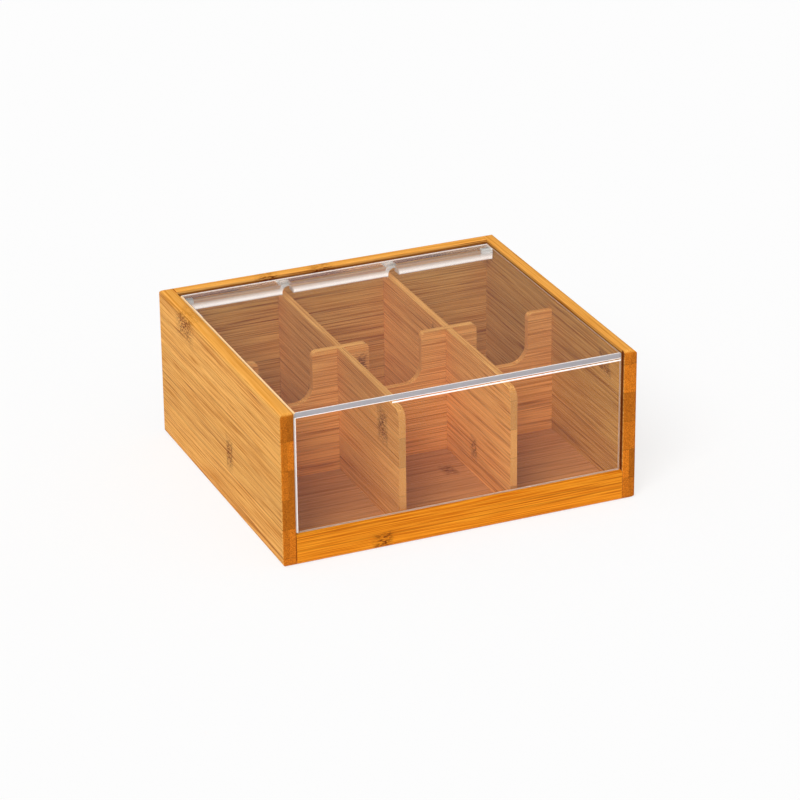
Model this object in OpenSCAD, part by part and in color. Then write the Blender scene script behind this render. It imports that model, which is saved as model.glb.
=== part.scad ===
// Bamboo tea bag box with six compartments and a hinged clear lid.
// The origin is the middle of the footprint on the table: +X right, +Y back, +Z up.

/* [Box] */
// Width of the box over both side panels
box_w = 210; // [180:1:300]
// Depth of the box from the front ends to the back
box_d = 190; // [150:1:260]
// Height of the side and back panels
box_h = 90; // [80:1:130]

/* [Boards] */
// Thickness of each side panel
side_t = 8; // [7:0.5:12]
// Thickness of the back panel
back_t = 8; // [7:0.5:12]
// Thickness of the front rail
rail_t = 6; // [5.5:0.5:9]
// Height of the front rail
rail_h = 18; // [16:1:30]
// Thickness of the base panel
base_t = 4; // [3:0.5:5]
// Height of the base panel's underside above the table
base_lift = 2; // [1.5:0.5:4]
// Depth of the groove that takes the base panel's edges
base_groove = 3; // [2:0.5:3.5]
// Gap between a base panel edge and the bottom of its groove
base_play = 0.3; // [0.1:0.1:0.6]
// Radius of the outer edges of the boards, along the top, the foot and the ends
outer_r = 3; // [1:0.25:4]
// Radius of the upright outer edges at the ends of the side panels
upright_r = 1; // [0.5:0.25:4]
// Radius of the inner edges of the boards and of the rail's top edges
inner_r = 1; // [0.5:0.25:1.5]

/* [Dividers] */
// Thickness of the long dividers and the cross divider
slat_t = 4; // [3:0.5:5]
// Clearance between the dividers' top edges and the lid's bar as it swings
slat_clear = 0.7; // [0.4:0.1:4]
// Radius of the top front corner of a long divider
slat_corner_r = 6; // [2:0.5:12]
// Gap between a long divider and the front rail or the lid's front sheet
slat_front_gap = 0.3; // [0.2:0.1:2]
// Depth of the grooves in the back and side panels that take the divider ends
dado_depth = 2; // [1:0.5:3]
// Free play of a divider across a groove or a half lap
slat_play = 0.2; // [0.1:0.05:0.4]
// Width of each raised end of the cross divider, inside a compartment
ear_w = 15; // [12:1:18]
// Radius of the top corners of the raised ends
ear_r = 3; // [1:0.5:5]
// Depth of the finger dip between two raised ends
dip_depth = 30; // [18:1:32]
// Radius of the bottom corners of the finger dip
dip_r = 10; // [4:1:12]

/* [Lid] */
// Thickness of the clear sheets
sheet_t = 3; // [2.5:0.25:4]
// Gap between the lid and a side panel
lid_side_gap = 0.9; // [0.5:0.1:1.5]
// Clearance between the lid's rear edge and the back panel as it swings
swing_clear = 0.5; // [0.3:0.1:1.5]
// Distance of the lid's face behind the front ends of the side panels
lid_recess = 2; // [1:0.25:3]
// Distance of the lid's top below the top of the panels
lid_drop = 0.8; // [0.5:0.1:1.5]
// Gap between the shut lid and the front rail
lid_rest_gap = 0.3; // [0.2:0.1:1]
// Depth of the clear bar under the rear edge of the lid, front to back
bar_w = 7; // [7:0.5:8]
// Height of the bar
bar_h = 6.5; // [6:0.25:7]
// Gap on each side of a long divider in the notch above it
notch_gap = 1.5; // [1:0.25:2]
// Height of the notch
notch_h = 5; // [4.75:0.25:5.5]
// Radius of the lid's rear and side top edges
sheet_edge_r = 1; // [0.5:0.1:1.2]

/* [Hinge pins and dowels] */
// Diameter of a hinge pin
pin_d = 4; // [3:0.5:4]
// Length of a hinge pin
pin_len = 12; // [10:0.5:12.5]
// Depth of a hinge pin's seat in the side panel
pin_seat = 5.5; // [4:0.5:6]
// Radial running clearance of the bar on a hinge pin
pin_play = 0.05; // [0.02:0.01:0.08]
// Space past the end of a hinge pin in the bar
pin_end_gap = 0.5; // [0.3:0.1:1]
// Diameter of a dowel between a side panel and the back panel
back_dowel_d = 4; // [3:0.5:4]
// Length of a dowel between a side panel and the back panel
back_dowel_len = 20; // [14:1:30]
// Diameter of a dowel between a side panel and the front rail
rail_dowel_d = 3; // [2:0.25:3]
// Length of a dowel between a side panel and the front rail
rail_dowel_len = 16; // [12:1:24]
// Depth of a dowel's seat in the side panel
dowel_seat = 5; // [3:0.5:6]
// Distance of the back dowels from the bottom and top of the back panel
dowel_margin = 23; // [16:1:30]

/* [Hidden] */
$fn = 64;

// Overcut of a cutting shape past the face that it opens
cut = 1;

// Faces of the carcass
side_x = box_w / 2 - side_t;
front_y = -box_d / 2;
rear_y = box_d / 2;
rail_back_y = front_y + rail_t;
back_y = rear_y - back_t;
floor_z = base_lift + base_t;

// Lid at rest, in width and height
lid_half_w = side_x - lid_side_gap;
lid_front_y = front_y + lid_recess;
lid_top_z = box_h - lid_drop;
sheet_under_z = lid_top_z - sheet_t;
lid_foot_z = rail_h + lid_rest_gap;
bar_foot_z = sheet_under_z - bar_h;

// The hinge axis runs along X through the middle of the bar. The lid's rear top edge and
// the bar's lower edges swing round it, and the axis stands off from the back panel and
// above the dividers by these reaches.
edge_reach = norm([bar_w / 2 - sheet_edge_r, bar_h / 2 + sheet_t - sheet_edge_r]) + sheet_edge_r;
bar_reach = norm([bar_w / 2, bar_h / 2]);
hinge_y = back_y - swing_clear - edge_reach;
hinge_z = sheet_under_z - bar_h / 2;
bar_front_y = hinge_y - bar_w / 2;
lid_back_y = hinge_y + bar_w / 2;
pin_outer_x = side_x + pin_seat;
pin_inner_x = pin_outer_x - pin_len;

// Dividers: equal bays across, two equal rows front to back
bays = 3;
bay_w = (2 * side_x - (bays - 1) * slat_t) / bays;
bay_step = bay_w + slat_t;
bay_centres = [-bay_step, 0, bay_step];
slat_x = bay_step / 2;
slat_top = hinge_z - bar_reach - slat_clear;
slat_front_y = max(rail_back_y, lid_front_y + sheet_t) + slat_front_gap;
slat_back_y = back_y + dado_depth;
slat_w = slat_t + slat_play;
cross_y = (rail_back_y + back_y) / 2;
cross_end_x = side_x + dado_depth;
lap_z = (floor_z + slat_top) / 2;
dip_w = bay_w - 2 * ear_w;
dip_corner_r = min(dip_r, dip_w / 2);
notch_w = slat_t + 2 * notch_gap;

// Dowels
back_dowel_y = (back_y + rear_y) / 2;
back_dowel_zs = [dowel_margin, box_h - dowel_margin];
rail_dowel_y = (front_y + rail_back_y) / 2;
rail_dowel_z = (floor_z + rail_h) / 2;

bamboo_outside = [0.86, 0.60, 0.30];
bamboo_rail = [0.88, 0.54, 0.18];
bamboo_inside = [0.76, 0.54, 0.33];
clear = [0.86, 0.90, 0.93, 0.35];
steel = [0.72, 0.73, 0.75];
beech = [0.80, 0.66, 0.46];

// Waste outside one rounded corner of a rectangle, with the corner at the origin
// and the rectangle in the direction of sx and sy
module corner_waste(r, sx, sy) {
    difference() {
        translate([min(sx, 0) * r - (sx > 0 ? cut : 0), min(sy, 0) * r - (sy > 0 ? cut : 0)])
            square([r + cut, r + cut]);
        translate([sx * r, sy * r]) circle(r);
    }
}

// Rectangle from [x0, y0] to [x1, y1]; radii are those of the corners
// low left, low right, high right and high left
module eased_rect(x0, y0, x1, y1, radii) {
    corners = [[x0, y0], [x1, y0], [x1, y1], [x0, y1]];
    inward = [[1, 1], [-1, 1], [-1, -1], [1, -1]];
    difference() {
        translate([x0, y0]) square([x1 - x0, y1 - y0]);
        for (i = [0 : len(corners) - 1])
            if (radii[i] > 0)
                translate(corners[i]) corner_waste(radii[i], inward[i][0], inward[i][1]);
    }
}

// Extrude a drawing of X and Z along Y, from y0 to y1
module along_y(y0, y1) {
    translate([0, y1, 0]) rotate([90, 0, 0]) linear_extrude(y1 - y0) children();
}

// Extrude a drawing of Y and Z along X, from x0 to x1
module along_x(x0, x1) {
    translate([x0, 0, 0]) rotate([90, 0, 90]) linear_extrude(x1 - x0) children();
}

// Extrude a drawing of X and Y along Z, from z0 to z1
module along_z(z0, z1) {
    translate([0, 0, z0]) linear_extrude(z1 - z0) children();
}

// Solid rod along X
module rod_x(x0, x1, y, z, d) {
    translate([x0, y, z]) rotate([0, 90, 0]) cylinder(d = d, h = x1 - x0);
}

// Box between two corners
module block(low, high) {
    translate(low) cube(high - low);
}

// Slab under the compartments that reaches into the four boards
module base_slab(reach) {
    block([-side_x - reach, rail_back_y - reach, base_lift],
          [side_x + reach, back_y + reach, floor_z]);
}

// Groove for the base panel's edges, cut as one slab from all four boards
module base_slot() {
    base_slab(base_groove);
}

// Mirror a right-hand shape to the left
module to_left() {
    mirror([1, 0, 0]) children();
}

module side_board() {
    difference() {
        intersection() {
            along_y(front_y, rear_y)
                eased_rect(side_x, 0, box_w / 2, box_h, [inner_r, outer_r, outer_r, inner_r]);
            along_z(0, box_h)
                eased_rect(side_x, front_y, box_w / 2, rear_y, [inner_r, upright_r, upright_r, inner_r]);
            along_x(side_x, box_w / 2)
                eased_rect(front_y, 0, rear_y, box_h, [outer_r, outer_r, outer_r, outer_r]);
        }
        base_slot();
        block([side_x - cut, cross_y - slat_w / 2, floor_z],
              [cross_end_x, cross_y + slat_w / 2, slat_top + slat_play]);
        rod_x(side_x - cut, pin_outer_x, hinge_y, hinge_z, pin_d);
        for (z = back_dowel_zs)
            rod_x(side_x - cut, side_x + dowel_seat, back_dowel_y, z, back_dowel_d);
        rod_x(side_x - cut, side_x + dowel_seat, rail_dowel_y, rail_dowel_z, rail_dowel_d);
    }
}

module right_side_panel() {
    color(bamboo_outside) side_board();
}

module left_side_panel() {
    color(bamboo_outside) to_left() side_board();
}

module back_panel() {
    color(bamboo_outside) difference() {
        along_x(-side_x, side_x)
            eased_rect(back_y, 0, rear_y, box_h, [inner_r, outer_r, outer_r, inner_r]);
        base_slot();
        for (x = [-slat_x, slat_x])
            block([x - slat_w / 2, back_y - cut, floor_z],
                  [x + slat_w / 2, slat_back_y, slat_top + slat_play]);
        back_dowel_set();
    }
}

module front_rail() {
    color(bamboo_rail) difference() {
        along_x(-side_x, side_x)
            eased_rect(front_y, 0, rail_back_y, rail_h, [outer_r, inner_r, inner_r, inner_r]);
        base_slot();
        rail_dowel_set();
    }
}

module base_panel() {
    color(bamboo_inside) base_slab(base_groove - base_play);
}

// Long divider, standing on the base, with the slot of its half lap open at the top
module long_slat(x) {
    color(bamboo_inside) difference() {
        along_x(x - slat_t / 2, x + slat_t / 2)
            eased_rect(slat_front_y, floor_z, slat_back_y, slat_top,
                       [inner_r, inner_r, inner_r, slat_corner_r]);
        block([x - slat_t, cross_y - slat_w / 2, lap_z],
              [x + slat_t, cross_y + slat_w / 2, slat_top + cut]);
    }
}

module left_divider() {
    long_slat(-slat_x);
}

module right_divider() {
    long_slat(slat_x);
}

// Finger dip, centred on X = 0: a slot with rounded bottom corners and eased top corners
module dip_outline() {
    dip_z = slat_top - dip_depth;
    eased_rect(-dip_w / 2, dip_z, dip_w / 2, slat_top + cut, [dip_corner_r, dip_corner_r, 0, 0]);
    for (side = [-1, 1])
        translate([side * dip_w / 2, slat_top]) corner_waste(ear_r, side, -1);
}

module cross_divider() {
    color(bamboo_inside) along_y(cross_y - slat_t / 2, cross_y + slat_t / 2) difference() {
        translate([-cross_end_x, floor_z]) square([2 * cross_end_x, slat_top - floor_z]);
        for (x = bay_centres)
            translate([x, 0]) dip_outline();
        for (x = [-slat_x, slat_x])
            translate([x - slat_w / 2, floor_z - cut]) square([slat_w, lap_z - floor_z + cut]);
    }
}

module lid_top_sheet() {
    color(clear) intersection() {
        along_x(-lid_half_w, lid_half_w)
            eased_rect(lid_front_y, sheet_under_z, lid_back_y, lid_top_z,
                       [0, 0, sheet_edge_r, 0]);
        along_y(lid_front_y, lid_back_y)
            eased_rect(-lid_half_w, sheet_under_z, lid_half_w, lid_top_z,
                       [0, 0, sheet_edge_r, sheet_edge_r]);
    }
}

module lid_front_sheet() {
    color(clear)
        block([-lid_half_w, lid_front_y, lid_foot_z],
              [lid_half_w, lid_front_y + sheet_t, sheet_under_z]);
}

// Arched notch that straddles a long divider
module notch_outline() {
    crown_z = bar_foot_z + notch_h - notch_w / 2;
    translate([-notch_w / 2, bar_foot_z - cut]) square([notch_w, crown_z - bar_foot_z + cut]);
    translate([0, crown_z]) circle(d = notch_w);
}

module lid_hinge_bar() {
    bore_x = pin_inner_x - pin_end_gap;
    color(clear) difference() {
        along_y(bar_front_y, lid_back_y) difference() {
            translate([-lid_half_w, bar_foot_z]) square([2 * lid_half_w, bar_h]);
            for (x = [-slat_x, slat_x])
                translate([x, 0]) notch_outline();
        }
        rod_x(bore_x, lid_half_w + cut, hinge_y, hinge_z, pin_d + 2 * pin_play);
        to_left() rod_x(bore_x, lid_half_w + cut, hinge_y, hinge_z, pin_d + 2 * pin_play);
    }
}

module hinge_pin() {
    rod_x(pin_inner_x, pin_outer_x, hinge_y, hinge_z, pin_d);
}

module right_hinge_pin() {
    color(steel) hinge_pin();
}

module left_hinge_pin() {
    color(steel) to_left() hinge_pin();
}

// Dowels of both ends of the back panel
module back_dowel_set() {
    for (z = back_dowel_zs) {
        x1 = side_x + dowel_seat;
        rod_x(x1 - back_dowel_len, x1, back_dowel_y, z, back_dowel_d);
        rod_x(-x1, back_dowel_len - x1, back_dowel_y, z, back_dowel_d);
    }
}

// Dowels of both ends of the front rail
module rail_dowel_set() {
    x1 = side_x + dowel_seat;
    rod_x(x1 - rail_dowel_len, x1, rail_dowel_y, rail_dowel_z, rail_dowel_d);
    rod_x(-x1, rail_dowel_len - x1, rail_dowel_y, rail_dowel_z, rail_dowel_d);
}

module back_dowels() {
    color(beech) back_dowel_set();
}

module rail_dowels() {
    color(beech) rail_dowel_set();
}

left_side_panel();
right_side_panel();
back_panel();
front_rail();
base_panel();
left_divider();
right_divider();
cross_divider();
lid_top_sheet();
lid_front_sheet();
lid_hinge_bar();
left_hinge_pin();
right_hinge_pin();
back_dowels();
rail_dowels();
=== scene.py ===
"""Looks of a bamboo tea bag box with a hinged clear lid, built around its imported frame.

Lengths are metres unless a name ends in _MM; the frame's axes are +X right, +Y back, +Z up.
"""

import math
from collections import namedtuple

import bmesh
import bpy
from bpy.props import FloatProperty, FloatVectorProperty, PointerProperty
from mathutils import Matrix, Vector


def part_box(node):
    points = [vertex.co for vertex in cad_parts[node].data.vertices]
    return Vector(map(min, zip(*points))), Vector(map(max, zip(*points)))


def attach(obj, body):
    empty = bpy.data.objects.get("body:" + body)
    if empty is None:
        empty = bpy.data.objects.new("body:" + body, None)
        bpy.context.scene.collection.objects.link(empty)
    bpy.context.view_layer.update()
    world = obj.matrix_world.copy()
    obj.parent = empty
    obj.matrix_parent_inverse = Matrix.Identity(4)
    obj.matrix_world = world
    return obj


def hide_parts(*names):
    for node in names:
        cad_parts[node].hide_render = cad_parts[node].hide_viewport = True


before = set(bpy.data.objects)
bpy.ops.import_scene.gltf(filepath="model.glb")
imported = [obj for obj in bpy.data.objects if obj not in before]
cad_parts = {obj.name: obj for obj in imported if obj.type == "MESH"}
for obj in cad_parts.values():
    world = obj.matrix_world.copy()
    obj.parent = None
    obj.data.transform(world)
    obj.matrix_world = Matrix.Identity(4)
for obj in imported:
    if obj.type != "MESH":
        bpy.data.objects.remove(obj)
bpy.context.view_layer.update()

bl_info = {
    "name": "Tea Bag Box",
    "version": (1, 0, 0),
    "blender": (4, 5, 0),
    "location": "View3D > Sidebar > Tea Box",
    "description": "Dresses a bamboo tea bag box: bamboo boards, clear lid, hinge pins and stage",
    "category": "Object",
}

MM = 0.001
PER_MM = 1000.0
BOX_BODY = "box"
LID_BODY = "lid"
WHITE = (1.0, 1.0, 1.0)

# The sRGB curve: a straight line below its knee and a power above it
SRGB_TOP = 255
SRGB_KNEE = 0.04045
SRGB_SLOPE = 12.92
SRGB_OFFSET = 0.055
SRGB_POWER = 2.4


def tint(red, green, blue):
    """Linear colour of an sRGB colour whose channels run to 255."""

    def linear(channel):
        level = channel / SRGB_TOP
        if level <= SRGB_KNEE:
            return level / SRGB_SLOPE
        return ((level + SRGB_OFFSET) / (1 + SRGB_OFFSET)) ** SRGB_POWER

    return tuple(linear(channel) for channel in (red, green, blue))


def darker(rgb, level):
    """A colour scaled down."""
    return tuple(channel * level for channel in rgb)


def opaque(rgb):
    """A colour with the alpha that a node's socket wants."""
    return (*rgb, 1.0)


def colour(label, text, default):
    """Colour property."""
    return FloatVectorProperty(
        name=label, description=text, subtype="COLOR", size=3, min=0, max=1, default=default
    )


def length(label, text, default):
    """Length property in metres."""
    return FloatProperty(
        name=label, description=text, subtype="DISTANCE", unit="LENGTH", min=0, default=default,
        precision=5,
    )


def share(label, text, default):
    """Property that runs from 0 to 1."""
    return FloatProperty(
        name=label, description=text, subtype="FACTOR", min=0, max=1, default=default
    )


def angle(label, text, degrees):
    """Angle property."""
    return FloatProperty(
        name=label, description=text, subtype="ANGLE", unit="ROTATION",
        default=math.radians(degrees),
    )


def strength(label, text, default):
    """Property for the strength of a light."""
    return FloatProperty(name=label, description=text, min=0, default=default)


# ---------------------------------------------------------------- settings


class TEABOX_PG_bamboo(bpy.types.PropertyGroup):
    """Sizes and colours of the bamboo."""

    side_light: colour("Side light", "Pale fibres of the side and back panels", tint(245, 186, 101))
    side_dark: colour("Side dark", "Dark fibres of the side and back panels", tint(204, 127, 36))
    side_end_light: colour("Side ends light", "Fibre packing of the side ends", tint(214, 124, 30))
    side_end_dark: colour("Side ends dark", "Vessels of the side ends", tint(140, 60, 2))
    rail_light: colour("Rail light", "Pale fibres of the front rail", tint(242, 158, 38))
    rail_dark: colour("Rail dark", "Dark fibres of the front rail", tint(207, 105, 5))
    rail_end_light: colour("Rail ends light", "Fibre packing of the rail ends", tint(214, 124, 30))
    rail_end_dark: colour("Rail ends dark", "Vessels of the rail ends", tint(140, 60, 2))
    divider_light: colour("Divider light", "Pale fibres of the dividers", tint(246, 180, 101))
    divider_dark: colour("Divider dark", "Dark fibres of the dividers", tint(208, 128, 52))
    divider_end_light: colour("Divider ends light", "Fibre packing of their ends", tint(214, 148, 80))
    divider_end_dark: colour("Divider ends dark", "Vessels of the divider ends", tint(196, 126, 58))
    # The base's colours are darker than the side panels' as painted shade on the floor of the box.
    base_light: colour("Base light", "Pale fibres of the base panel", tint(210, 144, 86))
    base_dark: colour("Base dark", "Dark fibres of the base panel", tint(166, 104, 54))
    base_end_light: colour("Base ends light", "Fibre packing of the base ends", tint(190, 118, 60))
    base_end_dark: colour("Base ends dark", "Vessels of the base ends", tint(146, 80, 34))
    streak: colour("Streaks", "Dark vascular bundles", tint(150, 71, 8))
    knot: colour("Node marks", "Marks where the cane had its nodes", tint(118, 56, 8))
    # Painted light: the outer boards' upward faces turn towards this tone, as if more strongly lit.
    rim: colour("Rims", "Warm tone of the outer boards' top edges", tint(255, 172, 62))
    # Painted shade: the boards in the narrow gap round the lid turn towards this dark colour.
    gap: colour("Gap", "Boards in the narrow gap round the lid", tint(92, 24, 0))
    strip: length("Strip width", "Width of the glued strips", 17.2 * MM)
    ply: length("Ply", "Thickness of one layer of strips", 4 * MM)
    sheen: share("Roughness", "Roughness of the lacquer", 0.5)
    gloss: share("Gloss", "Specular level of the lacquer", 0.06)
    side_streaking: share("Side streaking", "Strength of the dark hairlines there", 0.7)
    rail_streaking: share("Rail streaking", "Strength of the dark hairlines there", 0.45)
    divider_streaking: share("Divider streaking", "Strength of the dark hairlines there", 0.55)
    base_streaking: share("Base streaking", "Strength of the dark hairlines there", 0.4)


class TEABOX_PG_acrylic(bpy.types.PropertyGroup):
    """Sizes and colours of the clear lid."""

    body: colour("Tint", "Colour of the clear sheets", tint(250, 252, 252))
    sawn: colour("Sawn edge", "Colour of the lid's sawn front edge", tint(196, 192, 197))
    # Painted light: the bright edges glow in this colour, in place of light that the acrylic carries
    # to them.
    bright: colour("Bright edge", "Colour of the edges that carry light", tint(246, 241, 236))
    # Painted highlight: the lid's left edge along the left board glows in this colour.
    left_edge_highlight: colour("Warm edge", "Colour of the bright edge along the left board", tint(242, 204, 150))
    # Painted reflection: the right and lower edges take on the colour of the bamboo beside them.
    bamboo_reflection: colour("Tinted edges", "Edges that pick up the bamboo beside them", tint(226, 190, 158))
    arris: length("Arris", "Width of the small bevel on every edge", 0.25 * MM)
    rounding: length("Edge rounding", "Rounding of the top sheet's upper edges", 0.9 * MM)
    upright_rounding: length("Upright rounding", "Rounding of the front sheet's left side", 0.8 * MM)
    glue: length("Glue line", "Thickness of the cement between two pieces", 0.03 * MM)
    # Painted glint: the bead is a glowing bright line on the front sheet's face just below the joint,
    # not cement.
    glint_drop: length("Bead drop", "From the top sheet down to the cement bead", 0.9 * MM)
    glint: length("Bead", "Width of the cement bead behind the joint", 0.9 * MM)
    glint_start: FloatProperty(
        name="Bead start", description="Where the cement bead begins, along X",
        subtype="DISTANCE", unit="LENGTH", default=-40 * MM,
    )
    notch_gap: length("Notch gap", "Gap beside a long divider in the bar's notch", 1.5 * MM)
    notch_height: length("Notch height", "Height of the bar's notches", 5 * MM)
    pin_play: length("Pin play", "Radial clearance of the bar on a pin", 0.05 * MM)
    bore_end_gap: length("Bore end gap", "Space past the end of a pin", 0.5 * MM)
    ior: FloatProperty(name="IOR", description="Refractive index", min=1, max=2, default=1.49)
    mirror: share("Reflection", "Strength of the top sheet's reflection", 0.26)
    front_mirror: share("Front reflection", "Strength of the front sheet's reflection", 0.4)
    frost: share("Frosting", "Roughness of sawn and drilled faces", 0.5)
    # Painted light: the glow of the bright edges and of the lid's left edge.
    glow: share("Edge glow", "Light that the bright edges carry", 0.42)
    # Painted highlight: the glow of the bar's matt strip.
    strip_glow: share("Strip glow", "Light that the matt strip of the bar carries", 0.65)


class TEABOX_PG_hinge(bpy.types.PropertyGroup):
    """Sizes and colours of the pins and dowels."""

    steel: colour("Steel", "Colour of the hinge pins", tint(200, 201, 204))
    pin_chamfer: length("Pin chamfer", "Chamfer on the ends of a hinge pin", 0.5 * MM)
    beech: colour("Beech", "Colour of the dowels", tint(222, 190, 146))


class TEABOX_PG_stage(bpy.types.PropertyGroup):
    """Floor, light and camera."""

    floor: colour("Floor", "Colour of the floor", (0.95, 0.95, 0.95))
    floor_size: length("Floor size", "Width and depth of the floor", 14.0)
    backdrop: share("Backdrop", "How far the floor turns plain white to the eye", 0.75)
    sky_low: strength("Horizon light", "Light from the horizon", 0.37)
    sky_high: strength("Overhead light", "Light from overhead", 0.72)
    card: share("Card", "How much a dark card behind the box takes from the sky", 0.55)
    card_spread: angle("Card spread", "From the card's middle to where it starts to fade", 18)
    card_fade: angle("Card fade", "From the card's middle to where it is gone", 48)
    key: strength("Key light", "Strength of the key", 1.9)
    key_spread: angle("Key spread", "How wide the key looks from the box", 28)
    key_side: FloatVectorProperty(
        name="Key side", description="Where the key stands, seen from the box",
        subtype="DIRECTION", size=3, default=(-0.62, -0.62, 0.85),
    )
    azimuth: angle("Camera azimuth", "Turn of the view from +Y towards +X", 22.93)
    elevation: angle("Camera elevation", "Downward tilt of the view", 24.47)
    roll: angle("Camera roll", "Turn of the camera round its own axis", -0.586)
    distance: length("Camera distance", "From the camera to what it looks at", 1.96)
    reach: length("Camera reach", "How far the camera sees", 100.0)
    aim_right: length("Aim right", "Aim point right of the origin, in the view", 3.57 * MM)
    aim_up: length("Aim up", "Aim point above the origin, in the view", 36.57 * MM)
    lens: FloatProperty(
        name="Lens", description="Focal length", subtype="DISTANCE_CAMERA", min=1, default=154.87
    )


# ---------------------------------------------------------------- shader trees


class Value:
    """An output socket that takes part in Python arithmetic and adds Math nodes."""

    def __init__(self, tree, socket):
        self.tree = tree
        self.socket = socket

    def __add__(self, other):
        return self.tree.math("ADD", self, other)

    def __sub__(self, other):
        return self.tree.math("SUBTRACT", self, other)

    def __rsub__(self, other):
        return self.tree.math("SUBTRACT", other, self)

    def __mul__(self, other):
        return self.tree.math("MULTIPLY", self, other)

    def __truediv__(self, other):
        return self.tree.math("DIVIDE", self, other)

    def __abs__(self):
        return self.tree.math("ABSOLUTE", self)

    __radd__ = __add__
    __rmul__ = __mul__


class Shader:
    """Node tree of a material or a world; the nodes that it adds give Values."""

    def __init__(self, owner):
        self.owner = owner
        owner.use_nodes = True
        self.nodes = owner.node_tree.nodes
        self.links = owner.node_tree.links
        self.nodes.clear()

    def node(self, kind, settings=None, inputs=None):
        """A node of that kind: settings first, then its sockets' values or links."""
        node = self.nodes.new("ShaderNode" + kind)
        for key, value in (settings or {}).items():
            setattr(node, key, value)
        for key, value in (inputs or {}).items():
            socket = self.find(node.inputs, key)
            if isinstance(value, Value):
                self.links.new(value.socket, socket)
            else:
                socket.default_value = value
        return node

    @staticmethod
    def find(sockets, key):
        """Socket by number, identifier or name."""
        if isinstance(key, int):
            return sockets[key]
        return next(s for s in sockets if key in (s.identifier, s.name))

    def add(self, kind, settings=None, inputs=None, output=0):
        """One output of a new node."""
        node = self.node(kind, settings, inputs)
        return Value(self, self.find(node.outputs, output))

    def outputs(self, kind, names, inputs=None):
        """Several outputs of one new node."""
        node = self.node(kind, None, inputs)
        return [Value(self, self.find(node.outputs, name)) for name in names]

    def finish(self, surface):
        """Connect the tree's output, and give the material or world back."""
        kind = "World" if isinstance(self.owner, bpy.types.World) else "Material"
        self.node("Output" + kind, None, {"Surface": surface})
        return self.owner

    def rays(self, *names):
        """What kind of ray asks for the colour."""
        return self.outputs("LightPath", names)

    def math(self, operation, *operands):
        return self.add("Math", {"operation": operation}, dict(enumerate(operands)))

    def ramp(self, value, low, high):
        """0 below low and 1 above high, straight between them."""
        return self.add(
            "MapRange", {"clamp": True},
            {"Value": value, "From Min": low, "From Max": high},
        )

    def between(self, value, edges):
        """1 between the middle two of four edges and 0 outside them all."""
        return self.ramp(value, *edges[:2]) * (1.0 - self.ramp(value, *edges[2:]))

    @staticmethod
    def blend(factor, low, high):
        """Number that is low at 0 and high at 1."""
        return factor * (high - low) + low

    def mix(self, factor, first, second):
        """Colour between two colours."""
        first, second = (c if isinstance(c, Value) else opaque(c) for c in (first, second))
        return self.add(
            "Mix", {"data_type": "RGBA"},
            {"Factor_Float": factor, "A_Color": first, "B_Color": second}, "Result_Color",
        )

    def tone(self, base, value):
        """Colour scaled by a number."""
        grey = self.add("CombineColor", None, {"Red": value, "Green": value, "Blue": value})
        return self.add(
            "Mix", {"data_type": "RGBA", "blend_type": "MULTIPLY"},
            {"Factor_Float": 1.0, "A_Color": base, "B_Color": grey}, "Result_Color",
        )

    def vector(self, x, y, z):
        return self.add("CombineXYZ", None, {"X": x, "Y": y, "Z": z})

    def axes(self, output):
        """The x, y and z of the object's own coordinates or normal."""
        place = self.add("TexCoord", None, None, output)
        return dict(zip("xyz", self.outputs("SeparateXYZ", "XYZ", {"Vector": place})))

    def noise(self, place, scale, detail=2.0, roughness=0.5):
        return self.add(
            "TexNoise", None,
            {"Vector": place, "Scale": scale, "Detail": detail, "Roughness": roughness},
        )

    def random(self, x, y, z):
        """Random number from 0 to 1 for each cell."""
        return self.add("TexWhiteNoise", None, {"Vector": self.vector(x, y, z)}, "Value")

    def bump(self, height, strength, distance):
        return self.add(
            "Bump", None, {"Strength": strength, "Distance": distance, "Height": height}
        )

    def principled(self, **inputs):
        """Principled shader; names stand for its sockets, with _ for a space."""
        named = {key.replace("_", " "): value for key, value in inputs.items()}
        return self.add("BsdfPrincipled", None, named)


def new_material(name):
    """Empty tree of a new material."""
    return Shader(bpy.data.materials.new(name))


# ---------------------------------------------------------------- bamboo

# How a board was sawn: its fibres run along one axis, its strips lie side by side across
# another, and its plies are stacked through the third. first_joint and first_ply are where
# one glue joint lies each way, seed picks its canes, tone makes the board lighter or darker,
# partly as painted light for boards that look brighter where the light falls, the inner tone
# darkens its inner face as painted shade, and knots are the node marks of its cane. Places and
# lengths are millimetres.
Board = namedtuple(
    "Board", "node grain across through first_joint first_ply seed tone inner_tone knots"
)
Knot = namedtuple("Knot", "along across half_length half_width")
Palette = namedtuple("Palette", "light dark end_light end_dark streaking")
Spot = namedtuple("Spot", "along across through")
Grain = namedtuple("Grain", "bands breaks hairlines fine_lines fibres vessels")

SIDE_BOARDS = (
    Board(
        "left_side_panel", "y", "z", "x", first_joint=5.5, first_ply=101.0, seed=3.0,
        tone=0.97, inner_tone=0.9, knots=(Knot(-15.5, 34, 6, 12), Knot(52, 84, 16, 10)),
    ),
    Board(
        "right_side_panel", "y", "z", "x", first_joint=-3.7, first_ply=101.0, seed=8.0,
        tone=1.0, inner_tone=0.8, knots=(Knot(38, 22, 5, 9), Knot(-70, 73, 8, 7)),
    ),
)
BACK_BOARD = Board(
    "back_panel", "x", "z", "y", first_joint=1.5, first_ply=91.0, seed=14.0,
    tone=1.08, inner_tone=0.86,
    knots=(Knot(-41, 88, 9, 8), Knot(-8, 88, 9, 8), Knot(44, 27, 5, 9)),
)
RAIL_BOARD = Board(
    "front_rail", "x", "z", "y", first_joint=-9.0, first_ply=92.0, seed=21.0,
    tone=1.0, inner_tone=1.0, knots=(Knot(-46.5, 5, 7, 5),),
)
BASE_BOARD = Board(
    "base_panel", "x", "y", "z", first_joint=-96.0, first_ply=8.0, seed=33.0,
    tone=1.0, inner_tone=1.0,
    knots=(Knot(-78, -80, 5, 8), Knot(20, -30, 5, 8), Knot(62, 44, 5, 8)),
)
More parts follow.
